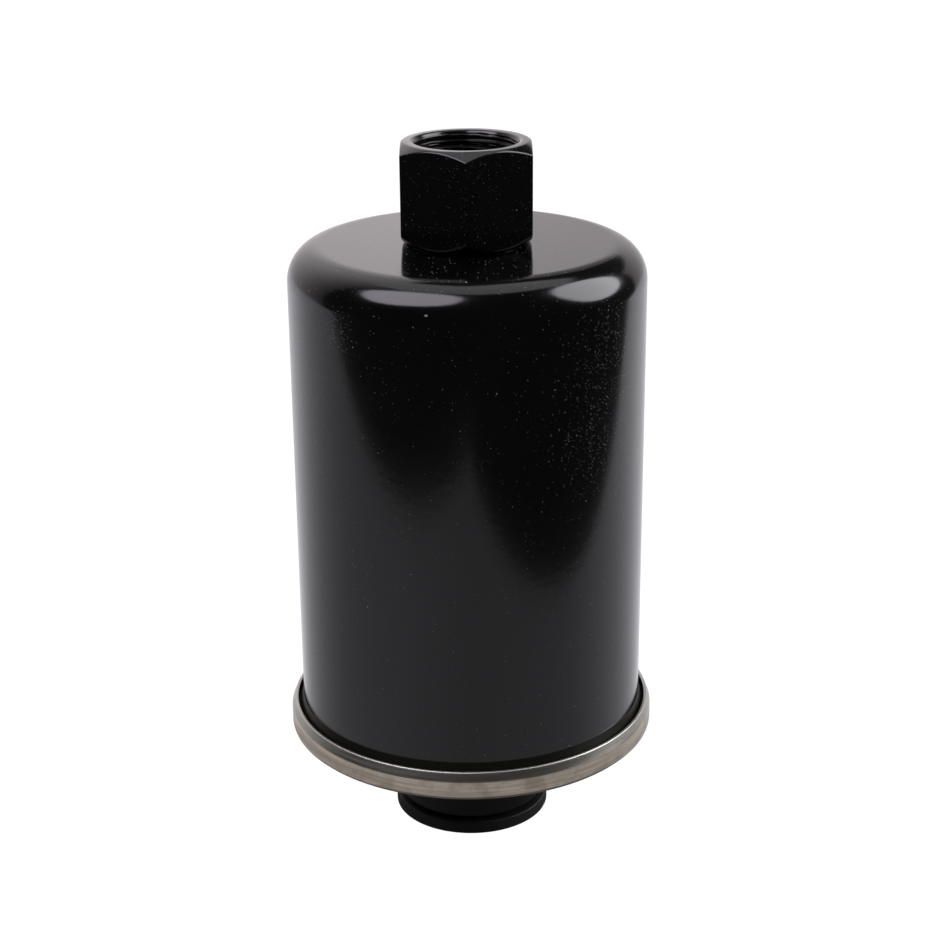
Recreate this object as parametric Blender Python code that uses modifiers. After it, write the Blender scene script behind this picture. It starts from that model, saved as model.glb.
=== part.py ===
"""In-line metal-can fuel filter, modelled piece by piece.

Frame: metres, +Z up along the can's axis, origin at the bottom centre of the transit plug that
the filter stands on. One edge between two flats of the inlet hexagon faces -Y.
"""

import math

import bmesh
import bpy
from mathutils import Matrix, Vector

MM = 0.001

# ---- driving dimensions, millimetres -------------------------------------------------------
GAP = 0.3                  # clearance that touching pieces keep

CAN_R = 27.9               # 56 mm can
CAN_TOP = 97.1
CAN_WALL = 0.8
SHOULDER_R = 5.3           # across
SHOULDER_H = 5.6           # down
FLANGE_R = 28.6            # the can's flared lower edge
FLANGE_Z = 18.25
FLARE_H = 2.7              # height of the flare

RIM_R = 29.9               # rolled rim of the cover
RIM_BOTTOM = 15.9
RIM_CORNER_R = 1.1
RIM_SHOULDER_Z = 19.1
RIM_EDGE_R = 29.3          # outer corner of the rolled sheet's cut edge
RIM_EDGE_Z = 20.6
RIM_LIP_R = 28.75          # its inner corner
RIM_LIP_Z = 20.5
SHEET = 0.65               # cover sheet
STEP_OUTER_R = 25.0        # foot of the step round the cover's raised centre
STEP_INNER_R = 23.0        # top of that step
STEP_H = 2.25
COMPOUND_R = (26.0, 28.2)  # sealing compound, inner and outer radius

HEX_AF = 20.0              # across flats
HEX_TOP = 112.8
HEX_BOTTOM = 97.6
HEX_FACE_R = 9.65          # flat ring left by the chamfers
WASHER_R = 9.3             # turned face below the hexagon
NECK_R = 8.2
NECK_BOTTOM = 93.5
THREAD_R = 7.2             # M16 x 1.5 port, minor radius
SINK_R = 8.3               # countersink
PASSAGE_R = 4.0
INLET_DRILL_Z = 99.6       # where the inlet's tapping hole turns into its cone
INLET_CONE_Z = 97.1

BOSS_R = 12.0
BOSS_EDGE = 0.5
BOSS_NECK_R = 9.2
BOSS_NECK_TOP = 19.8
OUTLET_DRILL_Z = 14.5      # the same for the outlet
OUTLET_CONE_Z = 16.5
SPIGOT_R = 6.5             # outlet spigot that the element sits on
SPIGOT_TOP = 30.0
SPIGOT_EDGE = (0.5, 0.8)   # lead-in, across and down

PLUG_FLANGE_R = 12.75
PLUG_FLANGE_H = 2.15
PLUG_EDGE = 0.3
PLUG_SPIGOT_TOP = 12.0
PLUG_LEAD = (0.8, 1.5)     # lead-in, across and down
PLUG_RECESS_R = 8.0
PLUG_RECESS_H = 0.8

PAPER_R = 22.8
PAPER_CORE_R = 12.0
PAPER_BOTTOM = 24.9
PAPER_TOP = 84.5
PLEATS = 36
TUBE_R = 11.5
TUBE_WALL = 0.6
TUBE_HOLE_R = 1.7
TUBE_HOLE_ROWS = 6
TUBE_HOLES_ROUND = 6
CAP_R = 24.4
CAP_SHEET = 0.7
CAP_EDGE = 0.3
COLLAR_R = (9.2, 9.9)      # collar of the lower cap
COLLAR_TOP = 28.0
POTTING_H = 1.5
SEAL_LIP_R = 10.4
SEAL_LIP = (20.8, 21.5)    # height of the seal's lip

SPRING_R = 12.5
SPRING_WIRE = 1.6
SPRING_TURNS = 2.5
DISH_R = 14.8              # spring seat
DISH_SHEET = 0.6
DISH_H = 2.4

STEPS_LARGE = 48           # facets round the can and the cover
STEPS_SMALL = 36           # facets round the small turned pieces
TOP_CHAMFER = math.radians(35)
FOOT_CHAMFER = math.radians(45)
SHARP_ANGLE = math.radians(30)


# ---- helpers -------------------------------------------------------------------------------
def clear_scene():
    """Start from an empty scene."""
    for obj in list(bpy.data.objects):
        bpy.data.objects.remove(obj, do_unlink=True)


def new_collection(name):
    collection = bpy.data.collections.new(name)
    bpy.context.scene.collection.children.link(collection)
    return collection


def material(name, colour, roughness, metallic):
    """Principled material from a linear colour."""
    mat = bpy.data.materials.new(name)
    mat.use_nodes = True
    shader = mat.node_tree.nodes["Principled BSDF"]
    shader.inputs["Base Color"].default_value = (*colour, 1.0)
    shader.inputs["Roughness"].default_value = roughness
    shader.inputs["Metallic"].default_value = metallic
    mat.diffuse_color = (*colour, 1.0)
    return mat


def add_object(name, data, collection, mat=None):
    obj = bpy.data.objects.new(name, data)
    collection.objects.link(obj)
    if mat is not None:
        obj.data.materials.append(mat)
    return obj


def smooth(mesh):
    """Smooth shading on round faces, sharp at the real edges."""
    mesh.shade_smooth()
    mesh.set_sharp_from_angle(angle=SHARP_ANGLE)


def arc(centre_r, centre_z, radius_r, radius_z, start, end, segments):
    """Points along an elliptic arc in the profile plane, angles in degrees from +X."""
    points = []
    for i in range(segments + 1):
        angle = math.radians(start + (end - start) * i / segments)
        points.append((centre_r + radius_r * math.cos(angle), centre_z + radius_z * math.sin(angle)))
    return points


def rectangle(inner, outer, bottom, top):
    """Closed rectangular ring section, down its outer side."""
    return [(inner, top), (outer, top), (outer, bottom), (inner, bottom)]


def turned(name, profile, collection, mat=None, steps=STEPS_SMALL, ring=True):
    """Turn a profile of (radius, height) points round Z with a Screw modifier.

    A ring's profile is a closed loop. Otherwise the profile starts and ends on the axis.
    """
    mesh = bpy.data.meshes.new(name)
    points = [(r * MM, 0.0, z * MM) for r, z in profile]
    edges = [(i, i + 1) for i in range(len(points) - 1)]
    if ring:
        edges.append((len(points) - 1, 0))
    mesh.from_pydata(points, edges, [])
    obj = add_object(name, mesh, collection, mat)
    screw = obj.modifiers.new("turn", "SCREW")
    screw.axis = "Z"
    screw.angle = math.tau
    screw.steps = steps
    screw.render_steps = steps
    screw.use_merge_vertices = True
    screw.merge_threshold = 0.00001
    screw.use_smooth_shade = False
    return obj


def as_cutter(obj):
    obj.hide_render = True
    obj.display_type = "WIRE"
    return obj


def boolean(obj, operation, other):
    modifier = obj.modifiers.new(operation.lower(), "BOOLEAN")
    modifier.operation = operation
    modifier.solver = "EXACT"
    modifier.object = other


# ---- casing --------------------------------------------------------------------------------
def make_canister(parts):
    """Deep-drawn can: flat top with the port hole, rounded shoulder, flared lower flange."""
    shoulder_z = CAN_TOP - SHOULDER_H
    shoulder_x = CAN_R - SHOULDER_R
    hole_r = NECK_R + GAP
    flare = FLANGE_R - CAN_R
    flare_z = FLANGE_Z + CAN_WALL + FLARE_H
    profile = [(hole_r, CAN_TOP)]
    profile += arc(shoulder_x, shoulder_z, SHOULDER_R, SHOULDER_H, 90, 0, 8)
    profile += arc(FLANGE_R, flare_z, flare, FLARE_H, 180, 270, 4)
    profile += arc(FLANGE_R, flare_z, flare + CAN_WALL, FLARE_H + CAN_WALL, 270, 180, 3)
    profile += arc(shoulder_x, shoulder_z, SHOULDER_R - CAN_WALL, SHOULDER_H - CAN_WALL, 0, 90, 6)
    profile += [(hole_r, CAN_TOP - CAN_WALL)]
    black = material("black_enamel", (0.006, 0.006, 0.007), 0.2, 0.0)
    return turned("canister", profile, parts, black, STEPS_LARGE)


def make_cover_plate(parts):
    """Pressed end cover, its skirt rolled over the can's flange, with a raised centre."""
    corner = RIM_CORNER_R
    step_z = RIM_BOTTOM + STEP_H
    hole_r = BOSS_NECK_R + GAP
    inner_wall = RIM_R - SHEET
    profile = [(RIM_LIP_R, RIM_LIP_Z), (RIM_EDGE_R, RIM_EDGE_Z), (RIM_R, RIM_SHOULDER_Z)]
    profile += arc(RIM_R - corner, RIM_BOTTOM + corner, corner, corner, 0, -90, 4)
    profile += [(STEP_OUTER_R, RIM_BOTTOM), (STEP_INNER_R, step_z), (hole_r, step_z)]
    profile += [(hole_r, step_z + SHEET), (STEP_INNER_R + SHEET / 2, step_z + SHEET)]
    profile += [(STEP_OUTER_R + SHEET / 2, RIM_BOTTOM + SHEET)]
    profile += [(inner_wall - GAP, RIM_BOTTOM + SHEET), (inner_wall, RIM_BOTTOM + SHEET + GAP)]
    profile += [(inner_wall, RIM_SHOULDER_Z - GAP)]
    steel = material("bare_steel", (0.36, 0.33, 0.30), 0.35, 1.0)
    return turned("cover_plate", profile, parts, steel, STEPS_LARGE)


def make_seam_gasket(parts):
    """Sealing compound between the can's flange and the cover."""
    profile = rectangle(*COMPOUND_R, RIM_BOTTOM + SHEET + GAP, FLANGE_Z - GAP)
    rubber = material("seam_compound", (0.02, 0.03, 0.012), 0.6, 0.0)
    return turned("seam_gasket", profile, parts, rubber)


# ---- ports ---------------------------------------------------------------------------------
def make_inlet_fitting(parts, cutters):
    """Hexagon with a female thread, a brazed neck through the can's top, both ends chamfered."""
    vertex_r = HEX_AF / 2 / math.cos(math.radians(30))
    reach = vertex_r + 1.0
    drop = (reach - HEX_FACE_R) * math.tan(TOP_CHAMFER)
    rise = (reach - HEX_FACE_R) * math.tan(FOOT_CHAMFER)
    mesh = bpy.data.meshes.new("inlet_fitting")
    bm = bmesh.new()
    middle = Matrix.Translation((0, 0, (HEX_TOP + HEX_BOTTOM) / 2 * MM))
    height = (HEX_TOP - HEX_BOTTOM + 2) * MM
    bmesh.ops.create_cone(bm, cap_ends=True, segments=6, radius1=vertex_r * MM,
                          radius2=vertex_r * MM, depth=height, matrix=middle)
    bm.to_mesh(mesh)
    bm.free()
    steel = material("black_oxide_steel", (0.004, 0.004, 0.0045), 0.3, 0.2)
    obj = add_object("inlet_fitting", mesh, parts, steel)
    chamfer = [(0, HEX_TOP), (HEX_FACE_R, HEX_TOP), (reach, HEX_TOP - drop)]
    chamfer += [(reach, HEX_BOTTOM + rise), (HEX_FACE_R, HEX_BOTTOM), (0, HEX_BOTTOM)]
    envelope = turned("hex_chamfers", chamfer, cutters, steps=STEPS_LARGE, ring=False)
    washer_z = CAN_TOP + GAP
    neck = [(0, HEX_BOTTOM + 2), (WASHER_R, HEX_BOTTOM + 2), (WASHER_R, washer_z), (NECK_R, washer_z)]
    neck += [(NECK_R, NECK_BOTTOM), (0, NECK_BOTTOM)]
    spigot = turned("inlet_neck", neck, cutters, ring=False)
    sink = SINK_R - THREAD_R
    bore = [(0, HEX_TOP + 1), (SINK_R + 1, HEX_TOP + 1), (THREAD_R, HEX_TOP - sink)]
    bore += [(THREAD_R, INLET_DRILL_Z), (PASSAGE_R, INLET_CONE_Z)]
    bore += [(PASSAGE_R, NECK_BOTTOM - 1), (0, NECK_BOTTOM - 1)]
    port = turned("inlet_port", bore, cutters, ring=False)
    boolean(obj, "INTERSECT", as_cutter(envelope))
    boolean(obj, "UNION", as_cutter(spigot))
    boolean(obj, "DIFFERENCE", as_cutter(port))
    return obj


def make_outlet_fitting(parts):
    """Turned boss below the cover, its neck through the cover and a spigot for the element."""
    bottom = PLUG_FLANGE_H + GAP
    shoulder = RIM_BOTTOM + STEP_H - GAP
    sink = SINK_R - THREAD_R
    across, down = SPIGOT_EDGE
    profile = [(PASSAGE_R, SPIGOT_TOP), (SPIGOT_R - across, SPIGOT_TOP), (SPIGOT_R, SPIGOT_TOP - down)]
    profile += [(SPIGOT_R, BOSS_NECK_TOP), (BOSS_NECK_R, BOSS_NECK_TOP), (BOSS_NECK_R, shoulder)]
    profile += [(BOSS_R, shoulder), (BOSS_R, bottom + BOSS_EDGE), (BOSS_R - BOSS_EDGE, bottom)]
    profile += [(SINK_R, bottom), (THREAD_R, bottom + sink)]
    profile += [(THREAD_R, OUTLET_DRILL_Z), (PASSAGE_R, OUTLET_CONE_Z)]
    steel = material("black_painted_steel", (0.005, 0.005, 0.006), 0.4, 0.0)
    return turned("outlet_fitting", profile, parts, steel)


def make_braze_rings(parts):
    """Fillets of braze metal where the two fittings pass through the can and the cover."""
    copper = material("braze_metal", (0.55, 0.30, 0.16), 0.4, 1.0)
    fillet = 1.6
    top = CAN_TOP - CAN_WALL - GAP
    inlet_r = NECK_R + GAP
    inlet = [(inlet_r, top), (inlet_r + fillet, top), (inlet_r, top - fillet)]
    bottom = RIM_BOTTOM + STEP_H + SHEET + GAP
    outlet_r = BOSS_NECK_R + GAP
    height = BOSS_NECK_TOP + GAP - bottom
    outlet = [(outlet_r, bottom + height), (outlet_r + fillet, bottom), (outlet_r, bottom)]
    turned("inlet_braze_ring", inlet, parts, copper)
    turned("outlet_braze_ring", outlet, parts, copper)


def make_outlet_plug(parts):
    """Push-in transit plug. It slides out of the outlet port along -Z."""
    spigot_r = THREAD_R - GAP
    edge = PLUG_EDGE
    across, down = PLUG_LEAD
    top = PLUG_SPIGOT_TOP
    profile = [(0, top), (spigot_r - across, top), (spigot_r, top - down)]
    profile += [(spigot_r, PLUG_FLANGE_H), (PLUG_FLANGE_R - edge, PLUG_FLANGE_H)]
    profile += [(PLUG_FLANGE_R, PLUG_FLANGE_H - edge), (PLUG_FLANGE_R, edge), (PLUG_FLANGE_R - edge, 0)]
    profile += [(PLUG_RECESS_R, 0), (PLUG_RECESS_R - 2 * edge, PLUG_RECESS_H), (0, PLUG_RECESS_H)]
    rubber = material("black_rubber", (0.012, 0.012, 0.012), 0.7, 0.0)
    return turned("outlet_plug", profile, parts, rubber, STEPS_LARGE, ring=False)


# ---- filter element ------------------------------------------------------------------------
def star_points(peak_r, valley_r):
    """Zigzag round the axis, one peak and one valley a pleat."""
    points = []
    for i in range(2 * PLEATS):
        radius = peak_r if i % 2 == 0 else valley_r
        angle = math.pi * i / PLEATS
        points.append(Vector((radius * math.cos(angle), radius * math.sin(angle), 0)) * MM)
    return points


def make_pleated_paper(parts):
    """Pleated paper ring: a star outline with a star hole, extruded along Z."""
    fold = 3.6                                  # paper thickness along the steep pleat walls
    curve = bpy.data.curves.new("pleated_paper", "CURVE")
    curve.dimensions = "2D"
    curve.fill_mode = "BOTH"
    curve.extrude = (PAPER_TOP - PAPER_BOTTOM) / 2 * MM
    outlines = (star_points(PAPER_R, PAPER_CORE_R + fold), star_points(PAPER_R - fold, PAPER_CORE_R))
    for outline in outlines:
        spline = curve.splines.new("POLY")
        spline.points.add(len(outline) - 1)
        for point, place in zip(spline.points, outline):
            point.co = (*place, 1.0)
        spline.use_cyclic_u = True
    paper = material("filter_paper", (0.62, 0.45, 0.22), 0.9, 0.0)
    obj = add_object("pleated_paper", curve, parts, paper)
    obj.location.z = (PAPER_TOP + PAPER_BOTTOM) / 2 * MM
    return obj


def make_pleat_seam_clip(parts):
    """Thin steel strip that closes the side seam of the pleat pack."""
    strip = 0.5
    width = 3.0
    size = Vector((strip, width, PAPER_TOP - PAPER_BOTTOM - 2 * POTTING_H)) * MM
    place = Vector((PAPER_R + GAP + strip / 2, 0, (PAPER_TOP + PAPER_BOTTOM) / 2)) * MM
    mesh = bpy.data.meshes.new("pleat_seam_clip")
    bm = bmesh.new()
    bmesh.ops.create_cube(bm, size=1.0, matrix=Matrix.Diagonal((*size, 1.0)))
    bm.to_mesh(mesh)
    bm.free()
    tin = material("tinned_strip", (0.6, 0.6, 0.58), 0.3, 1.0)
    obj = add_object("pleat_seam_clip", mesh, parts, tin)
    obj.location = place
    return obj


def make_centre_tube(parts, cutters):
    """Perforated tube inside the pleats."""
    profile = rectangle(TUBE_R - TUBE_WALL, TUBE_R, PAPER_BOTTOM, PAPER_TOP)
    steel = material("perforated_steel", (0.5, 0.5, 0.48), 0.4, 1.0)
    tube = turned("centre_tube", profile, parts, steel)
    pitch = (PAPER_TOP - PAPER_BOTTOM) / TUBE_HOLE_ROWS
    bm = bmesh.new()
    for row in range(TUBE_HOLE_ROWS):
        height = PAPER_BOTTOM + (row + 0.5) * pitch
        for hole in range(TUBE_HOLES_ROUND):
            turn = math.tau * (hole + 0.5 * (row % 2)) / TUBE_HOLES_ROUND
            lie_down = Matrix.Rotation(math.radians(90), 4, "Y")
            push_out = Matrix.Translation((TUBE_R * MM, 0, height * MM))
            place = Matrix.Rotation(turn, 4, "Z") @ push_out @ lie_down
            bmesh.ops.create_cone(bm, cap_ends=True, segments=8, radius1=TUBE_HOLE_R * MM,
                                  radius2=TUBE_HOLE_R * MM, depth=4 * TUBE_WALL * MM, matrix=place)
    mesh = bpy.data.meshes.new("tube_holes")
    bm.to_mesh(mesh)
    bm.free()
    boolean(tube, "DIFFERENCE", as_cutter(add_object("tube_holes", mesh, cutters)))
    return tube


def make_end_caps(parts):
    """Pressed end discs of the element: closed above, open with a collar below."""
    tin = material("tinned_steel", (0.55, 0.55, 0.52), 0.35, 1.0)
    rim_r = CAP_R - CAP_SHEET
    top = PAPER_TOP + 2 * GAP + POTTING_H
    high = top + CAP_SHEET
    upper = [(0, high), (CAP_R - CAP_EDGE, high), (CAP_R, high - CAP_EDGE)]
    upper += [(CAP_R, PAPER_TOP + GAP), (rim_r, PAPER_TOP + GAP), (rim_r, top), (0, top)]
    turned("upper_end_cap", upper, parts, tin, ring=False)
    bottom = PAPER_BOTTOM - 2 * GAP - POTTING_H
    low = bottom - CAP_SHEET
    skirt_z = PAPER_BOTTOM + 1
    collar_in, collar_out = COLLAR_R
    lower = [(collar_in, COLLAR_TOP), (collar_out, COLLAR_TOP), (collar_out, bottom), (rim_r, bottom)]
    lower += [(rim_r, skirt_z), (CAP_R, skirt_z), (CAP_R, low + CAP_EDGE), (CAP_R - CAP_EDGE, low)]
    lower += [(collar_in, low)]
    turned("lower_end_cap", lower, parts, tin)


def make_potting(parts):
    """Adhesive between the pleats and the end caps."""
    glue = material("potting_adhesive", (0.5, 0.16, 0.03), 0.45, 0.0)
    radius = CAP_R - CAP_SHEET - GAP
    base = PAPER_TOP + GAP
    disc = [(0, base + POTTING_H), (radius, base + POTTING_H), (radius, base), (0, base)]
    turned("upper_potting", disc, parts, glue, ring=False)
    top = PAPER_BOTTOM - GAP
    inner = COLLAR_R[1] + GAP
    turned("lower_potting", rectangle(inner, radius, top - POTTING_H, top), parts, glue)


def make_element_seal(parts):
    """Rubber grommet between the element's collar and the outlet spigot."""
    inner = SPIGOT_R + GAP
    outer = COLLAR_R[0] - GAP
    low, high = SEAL_LIP
    profile = [(inner, COLLAR_TOP), (outer, COLLAR_TOP), (outer, high), (SEAL_LIP_R, high)]
    profile += [(SEAL_LIP_R, low), (inner, low)]
    rubber = material("nitrile_rubber", (0.015, 0.015, 0.015), 0.6, 0.0)
    turned("element_seal", profile, parts, rubber)


def make_spring_and_seat(parts):
    """Coil spring under the can's top, in a pressed dish on the upper end cap."""
    steel = material("spring_steel", (0.25, 0.25, 0.26), 0.3, 1.0)
    seat_z = PAPER_TOP + 3 * GAP + POTTING_H + CAP_SHEET
    floor_z = seat_z + DISH_SHEET
    wall_r = DISH_R - DISH_SHEET
    dish = [(0, floor_z), (wall_r, floor_z), (wall_r, seat_z + DISH_H), (DISH_R, seat_z + DISH_H)]
    dish += [(DISH_R, seat_z + DISH_SHEET / 2), (DISH_R - DISH_SHEET / 2, seat_z), (0, seat_z)]
    turned("spring_seat", dish, parts, material("zinc_plate", (0.45, 0.45, 0.47), 0.4, 1.0), ring=False)
    low = floor_z + GAP + SPRING_WIRE / 2
    high = CAN_TOP - CAN_WALL - GAP - SPRING_WIRE / 2
    points_per_turn = 20
    count = int(SPRING_TURNS * points_per_turn) + 1
    curve = bpy.data.curves.new("hold_down_spring", "CURVE")
    curve.dimensions = "3D"
    curve.bevel_depth = SPRING_WIRE / 2 * MM
    curve.bevel_resolution = 2
    curve.use_fill_caps = True
    spline = curve.splines.new("POLY")
    spline.points.add(count - 1)
    for i, point in enumerate(spline.points):
        angle = math.tau * i / points_per_turn
        height = low + (high - low) * i / (count - 1)
        point.co = (SPRING_R * math.cos(angle) * MM, SPRING_R * math.sin(angle) * MM, height * MM, 1.0)
    add_object("hold_down_spring", curve, parts, steel)


# ---- assembly ------------------------------------------------------------------------------
def build():
    clear_scene()
    parts = new_collection("fuel_filter")
    cutters = new_collection("cutters")
    make_canister(parts)
    make_cover_plate(parts)
    make_seam_gasket(parts)
    make_inlet_fitting(parts, cutters)
    make_outlet_fitting(parts)
    make_braze_rings(parts)
    make_outlet_plug(parts)
    make_pleated_paper(parts)
    make_pleat_seam_clip(parts)
    make_centre_tube(parts, cutters)
    make_end_caps(parts)
    make_potting(parts)
    make_element_seal(parts)
    make_spring_and_seat(parts)
    for obj in list(parts.objects) + list(cutters.objects):
        if obj.type == "MESH" and len(obj.data.polygons) > 0:
            smooth(obj.data)


build()
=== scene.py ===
# %% [markdown]
# # A canister fuel filter
# A petrol line filter in a pressed steel can: a black stoved can, a black hexagon with a female
# thread brazed into its top, a bare steel cover rolled over the can's lower edge, and a turned
# outlet boss that a rubber transit plug closes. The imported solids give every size. This script
# gives the finish: turned shells with real edge radii, a cut thread, and a material for each
# piece that starts from what the piece is made of.

# %% Load the frame
import math

import bmesh
import bpy
from mathutils import Matrix, Vector


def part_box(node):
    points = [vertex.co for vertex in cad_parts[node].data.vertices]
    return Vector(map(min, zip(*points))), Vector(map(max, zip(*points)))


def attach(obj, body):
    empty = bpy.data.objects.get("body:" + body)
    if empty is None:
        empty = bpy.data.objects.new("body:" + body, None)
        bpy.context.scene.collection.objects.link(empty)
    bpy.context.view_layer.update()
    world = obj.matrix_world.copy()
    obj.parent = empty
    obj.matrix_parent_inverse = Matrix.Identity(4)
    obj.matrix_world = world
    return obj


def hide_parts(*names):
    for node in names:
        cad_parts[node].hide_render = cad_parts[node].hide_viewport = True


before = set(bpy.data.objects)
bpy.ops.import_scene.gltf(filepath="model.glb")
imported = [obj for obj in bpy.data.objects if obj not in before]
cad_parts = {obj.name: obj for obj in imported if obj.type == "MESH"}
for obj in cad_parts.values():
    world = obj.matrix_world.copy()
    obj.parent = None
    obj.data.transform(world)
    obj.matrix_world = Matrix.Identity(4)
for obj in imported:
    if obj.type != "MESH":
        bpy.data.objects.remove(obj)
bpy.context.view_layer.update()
MM = 0.001
FILTER = "filter"
PLUG = "transit_plug"

# %% [markdown]
# The main radii and heights are read off the solids, so the shells fit them by construction. The
# box of a node gives its outer radius and its two ends. Everything below is in millimetres.

# %% Sizes from the frame


def size_of(node):
    """Outer radius along X, lowest and highest point of a solid, in millimetres."""
    low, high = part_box(node)
    return high[0] / MM, low[2] / MM, high[2] / MM


FLANGE_R, FLANGE_Z, CAN_TOP = size_of("canister")
RIM_R, RIM_BOTTOM, RIM_EDGE_Z = size_of("cover_plate")
HEX_FLAT, NECK_BOTTOM, HEX_TOP = size_of("inlet_fitting")
BOSS_R, BOSS_BOTTOM, SPIGOT_TOP = size_of("outlet_fitting")
LIP_R, LIP_BOTTOM, PLUG_TOP = size_of("outlet_plug")
print("can top", round(CAN_TOP, 2), "rim radius", round(RIM_R, 2), "hexagon", round(2 * HEX_FLAT, 2))

CAN_R = FLANGE_R - 0.7
CAN_WALL = 0.8
SHOULDER_R = 5.3
SHOULDER_H = 5.6
FLARE_H = 2.7
SHEET = 0.65
RIM_EDGE_R = RIM_R - 0.6
RIM_SHOULDER_Z = RIM_EDGE_Z - 1.5
DISC_R = 25.0
RAISED_R = 23.0
RAISED_Z = RIM_BOTTOM + 2.25
HEX_BOTTOM = CAN_TOP + 0.25
HEX_FACE_R = 9.65
NECK_R = 8.2
BOSS_NECK_R = BOSS_R - 2.8
BOSS_NECK_TOP = 19.8
BOSS_PORT_TOP = 14.5
SPIGOT_R = 6.5
PASSAGE_R = 4.0
SINK_R = 8.3
SINK_SLOPE = 0.75
THREAD_PITCH = 1.5
THREAD_MINOR_R = 7.19
THREAD_DEPTH = 0.81
LIP_H = 2.15

# %% [markdown]
# ## Turning a shell
# Every visible piece but the hexagon is round, and a lathe made it. So one builder spins a list of
# rows round Z. A row is a (radius, height) pair, or a function of the angle where the piece isn't
# round, such as a hexagon or a thread. A mesh made this way is all quads, and the rows can crowd
# together where an edge turns, which a Screw modifier and a Bevel would do less evenly.

# %% The builder
ROUND = [math.tau * i / 256 for i in range(256)]


def spin(name, rows, angles=ROUND, body=FILTER, replaces=None, ring=True):
    """Quads between rows that run down the outer side. A ring closes on its first row."""
    bm = bmesh.new()
    grid = []
    for row in rows:
        loop = []
        for angle in angles:
            radius, height = row(angle) if callable(row) else row
            if radius < 1e-6 and loop:
                loop.append(loop[0])
                continue
            place = (radius * math.cos(angle) * MM, radius * math.sin(angle) * MM, height * MM)
            loop.append(bm.verts.new(place))
        grid.append(loop)
    pairs = list(zip(grid, grid[1:]))
    if ring:
        pairs.append((grid[-1], grid[0]))
    for upper, lower in pairs:
        for k in range(len(angles)):
            after = (k + 1) % len(angles)
            corners = [upper[k], lower[k], lower[after], upper[after]]
            corners = list(dict.fromkeys(corners))
            if len(corners) > 2:
                bm.faces.new(corners)
    mesh = bpy.data.meshes.new(name)
    bm.to_mesh(mesh)
    bm.free()
    mesh.shade_smooth()
    mesh.set_sharp_from_angle(angle=math.radians(50))
    piece = bpy.data.objects.new(name, mesh)
    bpy.context.scene.collection.objects.link(piece)
    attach(piece, body)
    if replaces:
        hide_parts(replaces)
    print(name, len(mesh.polygons), "faces")
    return piece


# %% [markdown]
# No real edge is a line. A profile is written as corners, each with the radius that the tool, the
# press or the paint leaves on it, and this function rounds them. It also sets a row just beside
# each round, so that a long flat keeps its own flat shading right up to the edge.

# %% Rounded corners


def rounded(corners, segments=5, closed=True):
    """Rows from (radius, height, edge radius) corners."""
    rows = []
    count = len(corners)
    for i, (r, z, edge) in enumerate(corners):
        at_end = not closed and i in (0, count - 1)
        if edge <= 0 or at_end:
            rows.append((r, z))
            continue
        here = Vector((r, z))
        back = Vector(corners[i - 1][:2]) - here
        ahead = Vector(corners[(i + 1) % count][:2]) - here
        half_turn = (math.pi - back.angle(ahead)) / 2
        cut = min(edge * math.tan(half_turn), 0.45 * back.length, 0.45 * ahead.length)
        start = here + back.normalized() * cut
        end = here + ahead.normalized() * cut
        rows.append(tuple(start + back.normalized() * cut * 0.1))
        for s in range(segments + 1):
            t = s / segments
            rows.append(tuple(start * (1 - t) ** 2 + here * 2 * t * (1 - t) + end * t ** 2))
        rows.append(tuple(end + ahead.normalized() * cut * 0.1))
    return rows


def arc(centre_r, centre_z, radius_r, radius_z, start, end, segments):
    """Rows along an elliptic arc, angles in degrees from the outward direction."""
    rows = []
    for i in range(segments + 1):
        angle = math.radians(start + (end - start) * i / segments)
        rows.append((centre_r + radius_r * math.cos(angle), centre_z + radius_z * math.sin(angle)))
    return rows


# %% [markdown]
# ## Colour and nodes
# Colours are written as the sRGB hex values that a colour picker shows. Shaders work in linear
# light, so one function converts them. One more adds a node with its settings and its links.

# %% Colour and node helpers


def linear(code):
    """Linear RGBA from an sRGB hex code."""
    channels = [int(code[i:i + 2], 16) / 255 for i in (1, 3, 5)]
    return [c / 12.92 if c <= 0.04045 else ((c + 0.055) / 1.055) ** 2.4 for c in channels] + [1.0]


def add(tree, kind, inputs=None, **settings):
    """Adds a node. inputs maps a socket to a value or to the output that feeds it."""
    node = tree.nodes.new("ShaderNode" + kind)
    for key, value in settings.items():
        setattr(node, key, value)
    for key, value in (inputs or {}).items():
        if isinstance(value, bpy.types.NodeSocket):
            tree.links.new(value, node.inputs[key])
        else:
            node.inputs[key].default_value = value
    return node


def start_material(name, **sockets):
    """A Principled material, its constant numbers set on the shader's own sockets."""
    mat = bpy.data.materials.new(name)
    mat.use_nodes = True
    shader = mat.node_tree.nodes["Principled BSDF"]
    for key, value in sockets.items():
        shader.inputs[key.replace("_", " ")].default_value = value
    coords = add(mat.node_tree, "TexCoord").outputs["Object"]
    return mat, mat.node_tree, shader, coords


def per_mm(millimetres):
    """Texture scale that makes one cell this long, since object coordinates are in metres."""
    return 1000.0 / millimetres


# %% [markdown]
# ## Camera
# A long lens looks down a little from the front, as for a catalogue picture. It stands about
# 30 cm from the filter's axis. A longer distance would flatten the ellipse of the can's top.

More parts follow.
